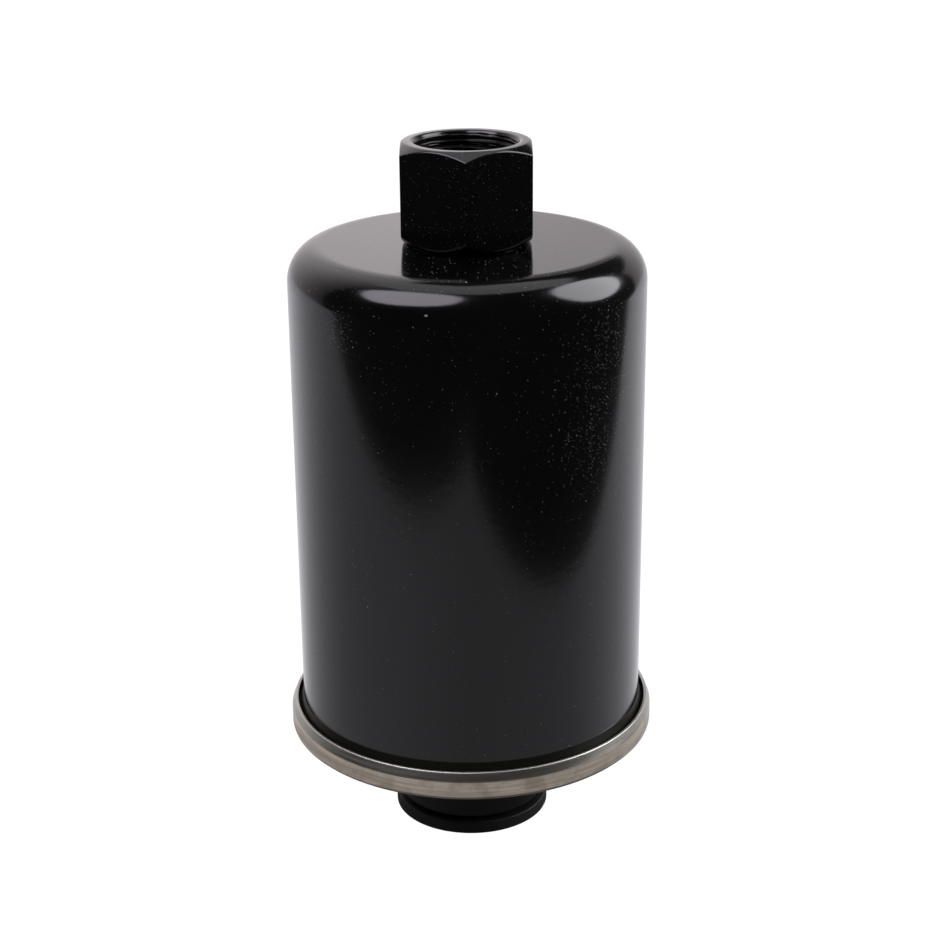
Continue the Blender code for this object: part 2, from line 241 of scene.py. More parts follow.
# %% The camera
CAMERA_DISTANCE = 297.7
CAMERA_HEIGHT = 169.6
CAMERA_SIDE = 0.95
CAMERA_PITCH = 20.45
CAMERA_ROLL = -0.46
camera_data = bpy.data.cameras.new("camera")
camera_data.sensor_width = 36.0
camera_data.lens = 74.73
camera_data.clip_start = 0.01
camera = bpy.data.objects.new("camera", camera_data)
camera.location = Vector((CAMERA_SIDE, -CAMERA_DISTANCE, CAMERA_HEIGHT)) * MM
tilt = Matrix.Rotation(math.radians(90 - CAMERA_PITCH), 3, "X")
level = Matrix.Rotation(math.radians(CAMERA_ROLL), 3, "Z")
camera.rotation_euler = (tilt @ level).to_euler()
bpy.context.scene.collection.objects.link(camera)
bpy.context.scene.camera = camera
bpy.context.scene.view_settings.view_transform = "Standard"
print("camera", [round(c, 4) for c in camera.location])

# %% [markdown]
# ## Studio
# Gloss black shows nothing but what stands round it, so the studio is most of the picture. There
# are two soft boxes, one high on the left and one on the right, a ceiling, pale walls behind and
# to the sides, and a pale sheet on the table whose corner points forward. The room in front is
# dark, which is what makes the can's face black. The cards only light and reflect. What the
# camera sees is a plain white floor, set below the plug's travel, and a plain white backdrop.

# %% Studio cards
CENTRE = Vector((0, 0, 80)) * MM
DARK_ROOM = 0.045


def direction(azimuth, elevation):
    """Unit vector. Azimuth 0 points at the camera, and grows to the right."""
    a = math.radians(azimuth)
    e = math.radians(elevation)
    return Vector((math.sin(a) * math.cos(e), -math.cos(a) * math.cos(e), math.sin(e)))


def glow(name, strength, colour="#ffffff"):
    """Even light of a lamp's cloth or a lit card."""
    mat = bpy.data.materials.new(name)
    mat.use_nodes = True
    tree = mat.node_tree
    tree.nodes.clear()
    lamp = add(tree, "Emission", {"Color": linear(colour), "Strength": strength})
    add(tree, "OutputMaterial", {"Surface": lamp.outputs[0]})
    return mat, tree, lamp


def card(name, points, faces, mat, seen=False):
    """Stage mesh. Unless it is seen, only reflections and bounced light find it."""
    mesh = bpy.data.meshes.new(name)
    mesh.from_pydata(points, [], faces)
    obj = bpy.data.objects.new(name, mesh)
    mesh.materials.append(mat)
    bpy.context.scene.collection.objects.link(obj)
    obj.visible_camera = seen
    obj.visible_glossy = not seen
    obj.visible_diffuse = not seen
    obj.visible_transmission = not seen
    obj.visible_shadow = False
    return obj


def softbox(name, azimuth, elevation, distance, width, height, turn, roundness, mat):
    """Flat panel that faces the filter, its outline a superellipse."""
    axis = direction(azimuth, elevation)
    side = Vector((0, 0, 1)).cross(axis).normalized()
    up = axis.cross(side)
    spin_angle = math.radians(turn)
    points = []
    steps = 48
    for i in range(steps):
        t = math.tau * i / steps
        x = math.copysign(abs(math.cos(t)) ** (2 / roundness), math.cos(t)) * width / 2
        y = math.copysign(abs(math.sin(t)) ** (2 / roundness), math.sin(t)) * height / 2
        across = x * math.cos(spin_angle) - y * math.sin(spin_angle)
        along = x * math.sin(spin_angle) + y * math.cos(spin_angle)
        points.append(CENTRE + axis * distance + side * across + up * along)
    return card(name, points, [list(range(steps))], mat)


left_light = glow("soft_box_cloth_left", 4.8, "#f8f4ff")[0]
right_light = glow("soft_box_cloth_right", 5.6, "#faf9ff")[0]
ceiling_light = glow("ceiling_paint", 1.2, "#fbfbff")[0]
softbox("soft_box_left", -50.3, 52.6, 0.9, 0.86, 0.66, 25, 2.4, left_light)
softbox("soft_box_right", 95.1, 31.1, 0.9, 0.75, 0.85, 0, 2.1, right_light)
CEILING_H = 1.0
CEILING_CORNERS = [(0, 77), (30, 75), (60, 71), (90, 64), (105, 57), (120, 52), (140, 51), (158, 57),
                   (172, 67), (180, 71), (-172, 68), (-160, 60), (-150, 57), (-120, 58), (-90, 66),
                   (-60, 76)]
ceiling_points = [CENTRE + direction(azimuth, elevation) * CEILING_H / math.sin(math.radians(elevation))
                  for azimuth, elevation in CEILING_CORNERS]
card("ceiling", ceiling_points, [list(range(len(ceiling_points)))], ceiling_light)
print("soft boxes and ceiling", len(CEILING_CORNERS), "corners")

# %% [markdown]
# The walls are curved strips behind the filter and beside it. Their brightness changes round the
# room, so a strip's material has a ramp along its length, and two of them brighten with height.
# The right wall is low but for its far end, and the dark room above it shows on the can's right
# shoulder.

# %% Walls


def set_stops(ramp, stops, tint):
    """Gives a ramp its (place, level) stops, each level coloured by the tint."""
    bar = ramp.color_ramp
    while len(bar.elements) < len(stops):
        bar.elements.new(0.5)
    for element, (place, level_here) in zip(bar.elements, stops):
        element.position = place
        element.color = [level_here * part for part in tint] + [1.0]


def wall(name, start, end, radius, low, tops, steps, stops, rise):
    """Curved card from one azimuth to another, its glow set by stops along it and a rise up it."""
    points = []
    faces = []
    for i in range(steps + 1):
        heading = direction(start + (end - start) * i / steps, 0) * radius
        for elevation in (low, tops[0] + (tops[1] - tops[0]) * i / steps):
            lift = radius * math.tan(math.radians(elevation))
            points.append(CENTRE + heading + Vector((0, 0, lift)))
    for i in range(steps):
        faces.append((2 * i, 2 * i + 1, 2 * i + 3, 2 * i + 2))
    mat, tree, lamp = glow(name + "_paint", 1.0)
    uv = add(tree, "UVMap")
    parts = add(tree, "SeparateXYZ", {0: uv.outputs[0]})
    ramp = add(tree, "ValToRGB", {0: parts.outputs[0]})
    set_stops(ramp, stops, (1.0, 0.94, 0.97))
    climb = add(tree, "MapRange", {0: parts.outputs[1], 1: rise[0], 2: rise[1], 3: 1.0, 4: rise[2]})
    product = add(tree, "VectorMath", {0: ramp.outputs[0], 1: climb.outputs[0]}, operation="MULTIPLY")
    tree.links.new(product.outputs[0], lamp.inputs["Color"])
    obj = card(name, points, faces, mat)
    layer = obj.data.uv_layers.new(name="UVMap")
    for loop in obj.data.loops:
        layer.data[loop.index].uv = (loop.vertex_index // 2 / steps, loop.vertex_index % 2)
    return obj


LEFT_STOPS = [(0, 0.2), (0.3, 0.47), (0.65, 0.74), (1, 0.86)]
BACK_STOPS = [(0, 0.86), (1, 1.0)]
RIGHT_STOPS = [(0, 0.5), (0.3, 0.66), (0.7, 0.8), (1, 0.95)]
wall("wall_left", -100, -156, 1.1, -20, (62, 62), 16, LEFT_STOPS, (0.2, 0.45, 1.5))
wall("wall_back", -156, -180, 1.1, -20, (62, 38), 8, BACK_STOPS, (0.2, 0.45, 1.3))
wall("wall_right_low", 129, 180, 1.1, -20, (22, 22), 16, RIGHT_STOPS, (0.5, 1.0, 1.0))
wall("wall_right_high", 162, 180, 1.12, 22, (38, 50), 8, [(0, 0.3), (1, 0.5)], (0.5, 1.0, 1.0))
print("four strips of wall")

# %% [markdown]
# The table sheet ends in a corner in front of the filter, so its two edges show as the soft
# slanting borders low on the can. The lamps light it unevenly, so its glow follows the direction
# from the filter, and the paper close to the filter lies in the filter's own shade.

# %% Table and backdrop
SHEET_STOPS = [(-180, 0.8), (-160, 0.85), (-142, 0.98), (-130, 0.96), (-120, 0.83), (-100, 0.66),
               (-80, 0.56), (-40, 0.56), (-20, 0.5), (0, 0.44), (40, 0.475), (60, 0.515), (80, 0.65),
               (100, 0.77), (118, 0.92), (132, 1.02), (150, 0.93), (180, 0.8)]
SHADE_INNER = 40
SHADE_OUTER = 62


def table_paper():
    """Glow that changes with the azimuth, and falls off under the filter."""
    mat, tree, lamp = glow("table_paper", 1.0)
    place = add(tree, "TexCoord").outputs["Object"]
    axes = add(tree, "SeparateXYZ", {0: place})
    front = add(tree, "Math", {0: axes.outputs[1], 1: -1.0}, operation="MULTIPLY")
    turn = add(tree, "Math", {0: axes.outputs[0], 1: front.outputs[0]}, operation="ARCTAN2")
    way_round = add(tree, "MapRange", {0: turn.outputs[0], 1: -math.pi, 2: math.pi})
    ramp = add(tree, "ValToRGB", {0: way_round.outputs[0]})
    set_stops(ramp, [(azimuth / 360 + 0.5, level) for azimuth, level in SHEET_STOPS], (1.0, 0.99, 1.06))
    reach = add(tree, "VectorMath", {0: place}, operation="LENGTH")
    shade = add(tree, "MapRange", {0: reach.outputs["Value"], 1: SHADE_INNER * MM, 2: SHADE_OUTER * MM,
                                   3: 0.22}, interpolation_type="SMOOTHSTEP")
    lit = add(tree, "VectorMath", {0: ramp.outputs[0], 1: shade.outputs[0]}, operation="MULTIPLY")
    tree.links.new(lit.outputs[0], lamp.inputs["Color"])
    return mat


SHEET_CORNERS = [(0, -225), (180, 0), (500, 405), (900, 1200), (-900, 1200), (-900, 340), (-300, -40)]
card("table_sheet", [Vector((x, y, -0.2)) * MM for x, y in SHEET_CORNERS],
     [list(range(len(SHEET_CORNERS)))], table_paper())

FLOOR_Z = -23.0
FLOOR_SIZE = 4.0
floor_paint = glow("white_floor", 1.05)[0]
corners = [(-1, -1), (1, -1), (1, 1), (-1, 1)]
floor_points = [Vector((x * FLOOR_SIZE, y * FLOOR_SIZE, FLOOR_Z * MM)) for x, y in corners]
card("floor", floor_points, [(0, 1, 2, 3)], floor_paint, seen=True)

world = bpy.data.worlds.new("dark_room")
bpy.context.scene.world = world
world.use_nodes = True
room = world.node_tree.nodes["Background"]
room.inputs["Color"].default_value = (1, 1, 1, 1)
room.inputs["Strength"].default_value = DARK_ROOM
backdrop_mesh = bpy.data.meshes.new("backdrop")
dome = bmesh.new()
bmesh.ops.create_uvsphere(dome, u_segments=32, v_segments=16, radius=6.0)
dome.to_mesh(backdrop_mesh)
dome.free()
backdrop = bpy.data.objects.new("backdrop", backdrop_mesh)
backdrop_mesh.materials.append(floor_paint)
bpy.context.scene.collection.objects.link(backdrop)
backdrop.visible_glossy = False
backdrop.visible_diffuse = False
backdrop.visible_shadow = False
print("studio ready")

# %% [markdown]
# ## Black stoved enamel
# The can is sprayed with black enamel and baked. The coat is glossy, it has a faint orange peel
# from the spray, and it has picked up dust, lint and fine rubs in its box. Its look is nearly all
# reflection, so the base is almost black and the roughness and the bump do the work. Real dust is
# a few hundredths of a millimetre across, too fine to show, so the grains are drawn coarser.

# %% Dust, hairlines and rubs


def dust(tree, coords, cell, share, size):
    """Mask of small grains, each of its own size and brightness. Lengths are in millimetres.

    share is the part of the cells that hold a grain, as a number or as a mask.
    """
    grain = add(tree, "TexVoronoi", {"Vector": coords, "Scale": per_mm(cell)})
    luck = add(tree, "SeparateColor", {0: grain.outputs["Color"]})
    lifted = add(tree, "Math", {0: luck.outputs[0], 1: share}, operation="ADD")
    chosen = add(tree, "Math", {0: lifted.outputs[0], 1: 1.0}, operation="GREATER_THAN")
    reach = add(tree, "MapRange", {0: luck.outputs[1], 3: 0.4 * size / cell, 4: size / cell})
    away = grain.outputs["Distance"]
    inside = add(tree, "Math", {0: away, 1: reach.outputs[0]}, operation="LESS_THAN")
    mask = add(tree, "Math", {0: chosen.outputs[0], 1: inside.outputs[0]}, operation="MULTIPLY")
    dim = add(tree, "Math", {0: luck.outputs[2], 1: 1.5}, operation="POWER")
    faded = add(tree, "Math", {0: mask.outputs[0], 1: dim.outputs[0]}, operation="MULTIPLY")
    return faded.outputs[0]


def hairlines(tree, coords, length, width, share, strength):
    """Mask of thin curved lines, cut into stretches by a second noise."""
    bend = add(tree, "TexNoise", {"Vector": coords, "Scale": per_mm(length), "Detail": 1.0,
                                  "Distortion": 0.6})
    off = add(tree, "Math", {0: bend.outputs[0], 1: 0.5}, operation="SUBTRACT")
    gap = add(tree, "Math", {0: off.outputs[0]}, operation="ABSOLUTE")
    line = add(tree, "MapRange", {0: gap.outputs[0], 1: 0.0, 2: width / length, 3: 1.0, 4: 0.0})
    cutter = add(tree, "TexNoise", {"Vector": coords, "Scale": per_mm(length * 0.4), "Detail": 0.0})
    kept = add(tree, "MapRange", {0: cutter.outputs[0], 1: 1 - share, 2: 1 - share + 0.05, 4: strength})
    mask = add(tree, "Math", {0: line.outputs[0], 1: kept.outputs[0]}, operation="MULTIPLY")
    return mask.outputs[0]


def patch(tree, coords, place, reach):
    """Soft mask, 1 at a place and 0 past an ellipsoid's reach round it, both in millimetres."""
    away = add(tree, "VectorMath", {0: coords, 1: Vector(place) * MM}, operation="SUBTRACT")
    scaled = add(tree, "VectorMath", {0: away.outputs[0], 1: [1 / (r * MM) for r in reach]},
                 operation="MULTIPLY")
    far = add(tree, "VectorMath", {0: scaled.outputs[0]}, operation="LENGTH")
    near = add(tree, "MapRange", {0: far.outputs["Value"], 1: 0.35, 2: 1.0, 3: 1.0, 4: 0.0},
               interpolation_type="SMOOTHSTEP")
    return near.outputs[0]


def gathered(tree, masks):
    """One mask from several kinds of dirt, held at 1."""
    total = masks[0]
    for mask in masks[1:]:
        total = add(tree, "Math", {0: total, 1: mask}, operation="ADD", use_clamp=True).outputs[0]
    return total


# %% [markdown]
# The blemishes are set where the can carries them: a dull rub high on the right, a small one by
# the left shoulder, and one chip on the front of the shoulder. The foot of the can, down in the
# groove under the rim, is painted a dull olive black as the groove's shade, with the compound's
# tint, and its reflection is cut.

# %% Can enamel


def on_can(azimuth, height, radius=CAN_R):
    """Point on the can's wall, azimuth 0 at the front, in millimetres."""
    heading = direction(azimuth, 0) * radius
    return (heading.x, heading.y, height)


def can_dirt(tree, coords, height):
    """Every blemish of the can in one mask."""
    masks = [dust(tree, coords, 1.1, 0.3, 0.11), dust(tree, coords, 0.42, 0.4, 0.06)]
    for cell, share, size in ((0.95, 0.6, 0.15), (0.6, 0.5, 0.1)):
        settled = add(tree, "MapRange", {0: height, 1: (CAN_TOP - 0.3) * MM, 2: (CAN_TOP - 0.1) * MM,
                                         4: share})
        masks.append(dust(tree, coords, cell, settled.outputs[0], size))
    rub_right = patch(tree, coords, on_can(47, 77), (12, 12, 19))
    rub_left = patch(tree, coords, on_can(-43, 89), (3.5, 3.5, 5))
    drawn_out = add(tree, "Mapping", {0: coords, 3: (1.0, 1.0, 0.05)})
    trails = add(tree, "TexNoise", {"Vector": drawn_out.outputs[0], "Scale": per_mm(1.1), "Detail": 1.0})
    trail = add(tree, "MapRange", {0: trails.outputs[0], 1: 0.42, 2: 0.62, 3: 0.25})
    streaked = add(tree, "Math", {0: rub_right, 1: trail.outputs[0]}, operation="MULTIPLY")
    rubbed = gathered(tree, [streaked.outputs[0], rub_left])
    for cell, share, size in ((0.2, 0.7, 0.065), (0.4, 0.42, 0.085)):
        rubbed_here = add(tree, "Math", {0: rubbed, 1: share}, operation="MULTIPLY")
        masks.append(dust(tree, coords, cell, rubbed_here.outputs[0], size))
    masks.append(hairlines(tree, coords, 16, 0.016, 0.3, 0.13))
    chip_edge = add(tree, "TexNoise", {"Vector": coords, "Scale": per_mm(0.5)})
    chip_core = patch(tree, coords, on_can(-12, 92.87, 27.33), (0.75, 0.6, 0.42))
    ragged = add(tree, "Math", {0: chip_core, 1: chip_edge.outputs[0]}, operation="MULTIPLY")
    masks.append(add(tree, "MapRange", {0: ragged.outputs[0], 1: 0.12, 2: 0.22}).outputs[0])
    return gathered(tree, masks)


def can_enamel():
    mat, tree, shader, coords = start_material("black_stoved_enamel", Metallic=0.0, IOR=1.5)
    height = add(tree, "SeparateXYZ", {0: coords}).outputs[2]
    dirt = can_dirt(tree, coords, height)
    cloud = add(tree, "TexNoise", {"Vector": coords, "Scale": per_mm(9), "Detail": 4.0})
    haze = add(tree, "MapRange", {0: cloud.outputs[0], 1: 0.35, 2: 0.75, 3: 0.0, 4: 0.0016})
    black = add(tree, "MixRGB", {0: haze.outputs[0], 1: linear("#020202"), 2: linear("#8a8a86")})
    thin_dirt = add(tree, "Math", {0: dirt, 1: 0.55}, operation="MULTIPLY")
    colour = add(tree, "MixRGB", {0: thin_dirt.outputs[0], 1: black.outputs[0], 2: linear("#a9a49c")})
    # Painted shade: below this height the can turns dull olive black and its reflection is cut, for the
    # shade in the groove behind the rim.
    foot_z = FLANGE_Z + CAN_WALL + FLARE_H - 0.2
    foot = add(tree, "MapRange", {0: height, 1: foot_z * MM, 2: (foot_z + 0.15) * MM, 3: 1.0, 4: 0.0})
    foot_painted_shade = add(tree, "MixRGB", {0: foot.outputs[0], 1: colour.outputs[0], 2: linear("#0f0f09")})
    tree.links.new(foot_painted_shade.outputs[0], shader.inputs["Base Color"])
    foot_spec_cut = add(tree, "MapRange", {0: foot.outputs[0], 3: 0.5, 4: 0.12})
    tree.links.new(foot_spec_cut.outputs[0], shader.inputs["Specular IOR Level"])
    dull = add(tree, "MapRange", {0: cloud.outputs[0], 1: 0.3, 2: 0.7, 3: 0.125, 4: 0.155})
    foot_rough = add(tree, "MixRGB", {0: foot.outputs[0], 1: dull.outputs[0], 2: (0.35, 0.35, 0.35, 1)})
    rough = add(tree, "MixRGB", {0: dirt, 1: foot_rough.outputs[0], 2: (0.7, 0.7, 0.7, 1)})
    tree.links.new(rough.outputs[0], shader.inputs["Roughness"])
    peel = add(tree, "TexNoise", {"Vector": coords, "Scale": per_mm(1.4), "Detail": 1.0})
    peel_bump = add(tree, "Bump", {"Strength": 0.06, "Distance": 0.0001, "Height": peel.outputs[0]})
    raised = add(tree, "Bump", {"Strength": 0.5, "Distance": 0.00003, "Height": dirt,
                                "Normal": peel_bump.outputs[0]})
    tree.links.new(raised.outputs[0], shader.inputs["Normal"])
    return mat


ENAMEL_CAN = can_enamel()
print("material", ENAMEL_CAN.name)

# %% [markdown]
# ## The can
# Deep drawing gives a flat top, a shoulder that is a little flatter than round, a straight wall
# and a flared edge that the cover grips. It is one closed shell with its wall thickness, so the
# flare and the port hole have real edges.

# %% Can shell
shoulder_x = CAN_R - SHOULDER_R
shoulder_z = CAN_TOP - SHOULDER_H
flare_z = FLANGE_Z + CAN_WALL + FLARE_H
can_rows = [(NECK_R + 0.3, CAN_TOP), (10.0, CAN_TOP), (15.0, CAN_TOP), (shoulder_x - 0.6, CAN_TOP)]
can_rows += arc(shoulder_x, shoulder_z, SHOULDER_R, SHOULDER_H, 90, 0, 40)
can_rows += [(CAN_R, z) for z in (80.0, 60.0, 40.0, flare_z + 0.2)]
can_rows += rounded([(CAN_R, flare_z + 0.1, 0), (CAN_R, flare_z - 0.3, 0.25),
                     (CAN_R + 0.5, flare_z - 1.4, 0.8), (FLANGE_R, flare_z - FLARE_H, 0)], closed=False)
can_rows += arc(FLANGE_R, flare_z, FLANGE_R - CAN_R + CAN_WALL, FLARE_H + CAN_WALL, 270, 180, 10)
can_rows += arc(shoulder_x, shoulder_z, SHOULDER_R - CAN_WALL, SHOULDER_H - CAN_WALL, 0, 90, 12)
can_rows += [(NECK_R + 0.3, CAN_TOP - CAN_WALL)]
can = spin("can_shell", can_rows, replaces="canister")
can.data.materials.append(ENAMEL_CAN)

# %% [markdown]
# ## The hexagon
# Hexagon bar, chamfered at 35 degrees on top and 45 below, bored, countersunk and threaded. Each
# column of the mesh runs down through the flats, so the curved lines where the chamfer cones meet
# the flats come out of the geometry. Columns crowd at the six edges to round them.

# %% Hexagon outline and thread
EDGE_ROUND = 0.25
TOP_SLOPE = math.tan(math.radians(35))
FOOT_SLOPE = math.tan(math.radians(45))
CORNER_OFFSETS = (-6, -3, -2, -1.4, -1.0, -0.7, -0.4, -0.2, 0, 0.2, 0.4, 0.7, 1.0, 1.4, 2, 3, 6)


def hexagon(angle):
    """Distance from the axis to the outline, flats facing 0, 60, 120 degrees and so on."""
    off = abs((math.degrees(angle) + 30) % 60 - 30)
    off = math.radians(off)
    inner = HEX_FLAT - EDGE_ROUND
    flat_end = math.atan2(inner * math.tan(math.radians(30)), HEX_FLAT)
    if off <= flat_end:
        return HEX_FLAT / math.cos(off)
    to_corner = inner / math.cos(math.radians(30))
    turn = math.radians(30) - off
    return to_corner * math.cos(turn) + math.sqrt(EDGE_ROUND ** 2 - (to_corner * math.sin(turn)) ** 2)


def hex_angles():
    """Columns every 3 degrees along the flats, and crowded at the six edges."""
    found = set()
    for corner in range(30, 390, 60):
        found.update(corner + offset for offset in CORNER_OFFSETS)
        found.update(corner + offset for offset in range(9, 54, 3))
    return [math.radians(a) for a in sorted(a % 360 for a in found)]


def thread_radius(angle, height, minor, depth):
    """Radius of an internal 60 degree thread at an angle and a height."""
    phase = (height / THREAD_PITCH - angle / math.tau) % 1.0
    crest, ramp, root = 0.25, 0.3125, 0.125
    if phase < crest:
        cut = 0.0
    elif phase < crest + ramp:
        cut = (phase - crest) / ramp
    elif phase < crest + ramp + root:
        cut = 1.0
    else:
        cut = (1.0 - phase) / ramp
    return minor + depth * cut


def threaded_bore(face_z, bottom_z, into):
    """Rows from a countersunk mouth into a threaded port. into is -1 down or +1 up.

    The thread's first turns are relieved, and its last ones run out before the port's bottom.
    """
    rows = []
    step = 0.1
    port_depth = abs(face_z - bottom_z)
    for i in range(int(port_depth / step) + 1):
        depth = i * step + 0.06

        def row(angle, depth=depth):
            height = face_z + into * depth
            run_out = min(1.0, max(0.0, (port_depth - depth - 1.0) / 1.5))
            cut = thread_radius(angle, height, THREAD_MINOR_R, THREAD_DEPTH * run_out)
            sink = SINK_R - 0.06 - depth * SINK_SLOPE
            relief_left = min(1.0, max(0.0, 3.2 - depth * 1.6))
            relief = THREAD_MINOR_R + THREAD_DEPTH * 0.75 * relief_left
            return max(cut, sink, relief), height

        rows.append(row)
    return rows


# %% [markdown]
# The rows start on the top ring, go out over the chamfer and down the flats, round the lower
# chamfer, down the brazed neck, and come back up through the passage and the thread.

# %% Hexagon rows


def hex_chamfer(face_z, sign, slope):
    """Rows over one chamfer, from its flat ring to the flats. sign is -1 going down from it."""
    edge = 0.2
    rows = []
    for share in (0.0, 0.3, 0.7):
        def on_cone(angle, share=share):
            reach = hexagon(angle) - edge
            radius = HEX_FACE_R + 0.05 + (reach - HEX_FACE_R - 0.05) * share
            return radius, face_z + sign * (radius - HEX_FACE_R) * slope
        rows.append(on_cone)
    for share in (0.0, 0.2, 0.4, 0.6, 0.8, 1.0):
        def over_edge(angle, share=share):
            corner = Vector((hexagon(angle), face_z + sign * (hexagon(angle) - HEX_FACE_R) * slope))
            start = corner - Vector((1.0, sign * slope)) * edge
            end = corner + Vector((0.0, sign * edge))
            spot = start * (1 - share) ** 2 + corner * 2 * share * (1 - share) + end * share ** 2
            return spot.x, spot.y
        rows.append(over_edge)

    def past_edge(angle):
        drop = (hexagon(angle) - HEX_FACE_R) * slope + edge + 0.1
        return hexagon(angle), face_z + sign * drop

    rows.append(past_edge)
    return rows


def hexagon_rows():
    port_bottom = HEX_BOTTOM + 2.0
    rows = [(SINK_R + 0.06, HEX_TOP - 0.02), (SINK_R + 0.14, HEX_TOP), (HEX_FACE_R - 0.05, HEX_TOP)]
    rows += hex_chamfer(HEX_TOP, -1, TOP_SLOPE)
    rows += list(reversed(hex_chamfer(HEX_BOTTOM, 1, FOOT_SLOPE)))
    washer_z = CAN_TOP + 0.03
    rows += rounded([(HEX_FACE_R, HEX_BOTTOM, 0), (8.9, HEX_BOTTOM - 0.02, 0.05), (8.85, washer_z, 0.05),
                     (NECK_R, washer_z, 0.05), (NECK_R, NECK_BOTTOM, 0.3), (PASSAGE_R, NECK_BOTTOM, 0.3),
                     (PASSAGE_R, HEX_BOTTOM - 0.5, 0.3), (THREAD_MINOR_R, port_bottom - 0.2, 0)],
                    closed=False)
    rows += list(reversed(threaded_bore(HEX_TOP, port_bottom, -1)))
    rows += [(SINK_R + 0.02, HEX_TOP - 0.05)]
    return rows


hexagon_piece = spin("inlet_hexagon", hexagon_rows(), hex_angles(), replaces="inlet_fitting")

# %% [markdown]
# The fitting was painted apart from the can, with a thinner coat that dries satin. Its flats
# carry dust and lint, most of it by one edge on the right.

# %% Fitting enamel


def satin_enamel(name, rough_low, rough_high, dusty):
    """Thin satin coat. The threads inside a port are dull dry phosphate, with their reflection cut as
    painted shade.
    """
    mat, tree, shader, coords = start_material(name, Metallic=0.0, IOR=1.5)
    cluster = patch(tree, coords, (9.2, -6.5, HEX_BOTTOM + 7), (3.0, 3.0, 7.0))
    crowd = add(tree, "MapRange", {0: cluster, 3: 0.16 * dusty, 4: 0.16 * dusty + 0.4})
    dirt = gathered(tree, [dust(tree, coords, 0.7, crowd.outputs[0], 0.1),
                           dust(tree, coords, 0.24, 0.42 * dusty, 0.05),
                           hairlines(tree, coords, 11, 0.014, 0.42, 0.3 * dusty)])
    cloud = add(tree, "TexNoise", {"Vector": coords, "Scale": per_mm(4), "Detail": 4.0})
    thin_dirt = add(tree, "Math", {0: dirt, 1: 0.5}, operation="MULTIPLY")
    colour = add(tree, "MixRGB", {0: thin_dirt.outputs[0], 1: linear("#020202"), 2: linear("#9b9c98")})
    tree.links.new(colour.outputs[0], shader.inputs["Base Color"])
    dull = add(tree, "MapRange", {0: cloud.outputs[0], 1: 0.3, 2: 0.7, 3: rough_low, 4: rough_high})
    axes = add(tree, "SeparateXYZ", {0: coords})
    flat = add(tree, "CombineXYZ", {0: axes.outputs[0], 1: axes.outputs[1]})
    from_axis = add(tree, "VectorMath", {0: flat.outputs[0]}, operation="LENGTH")
    inside = add(tree, "MapRange", {0: from_axis.outputs["Value"], 1: 7.7 * MM, 2: 8.0 * MM, 3: 1.0, 4: 0.0})
    dry = add(tree, "MixRGB", {0: inside.outputs[0], 1: dull.outputs[0], 2: (0.3, 0.3, 0.3, 1)})
    tree.links.new(dry.outputs[0], shader.inputs["Roughness"])
    # Painted shade: inside the port the reflection is cut, for the shade deep in the bore.
    port_spec_cut = add(tree, "MapRange", {0: inside.outputs[0], 3: 0.5, 4: 0.12})
    tree.links.new(port_spec_cut.outputs[0], shader.inputs["Specular IOR Level"])
    grain = add(tree, "TexNoise", {"Vector": coords, "Scale": per_mm(0.35), "Detail": 2.0})
    bump = add(tree, "Bump", {"Strength": 0.08, "Distance": 0.00004, "Height": grain.outputs[0]})
    raised = add(tree, "Bump", {"Strength": 0.4, "Distance": 0.00003, "Height": dirt,
                                "Normal": bump.outputs[0]})
    tree.links.new(raised.outputs[0], shader.inputs["Normal"])
    return mat


ENAMEL_FITTING = satin_enamel("satin_black_fitting_enamel", 0.15, 0.19, 1.0)
hexagon_piece.data.materials.append(ENAMEL_FITTING)
print("material", ENAMEL_FITTING.name)

# %% [markdown]
# ## The rolled cover
# A pressed disc of bare plated steel. Its skirt is rolled over the can's flare, which leaves a
# cut edge on top, a steep band, a tight shoulder and a straight outside wall. The centre is
# pressed up, so that the rim and not the disc takes the knocks.

# %% Cover with its rolled rim
inner_wall = RIM_R - SHEET
rim_corners = [(RIM_EDGE_R - 0.45, RIM_EDGE_Z - 0.06, 0.1), (RIM_EDGE_R, RIM_EDGE_Z, 0.2),
               (RIM_R, RIM_SHOULDER_Z + 0.05, 0.3), (RIM_R, RIM_BOTTOM + 0.6, 0.5),
               (RIM_R - 0.65, RIM_BOTTOM, 0.5), (DISC_R, RIM_BOTTOM, 0.7),
               (RAISED_R, RAISED_Z, 0.7), (BOSS_NECK_R + 0.3, RAISED_Z, 0.15),
               (BOSS_NECK_R + 0.3, RAISED_Z + SHEET, 0.15),
               (RAISED_R + 0.3, RAISED_Z + SHEET, 0.7), (DISC_R + 0.3, RIM_BOTTOM + SHEET, 0.7),
               (inner_wall, RIM_BOTTOM + SHEET, 0.4), (inner_wall, RIM_SHOULDER_Z - 0.6, 0.25),
               (RIM_EDGE_R - 0.5, RIM_EDGE_Z - 0.3, 0.13)]
cover = spin("rolled_cover", rounded(rim_corners, segments=7), replaces="cover_plate")
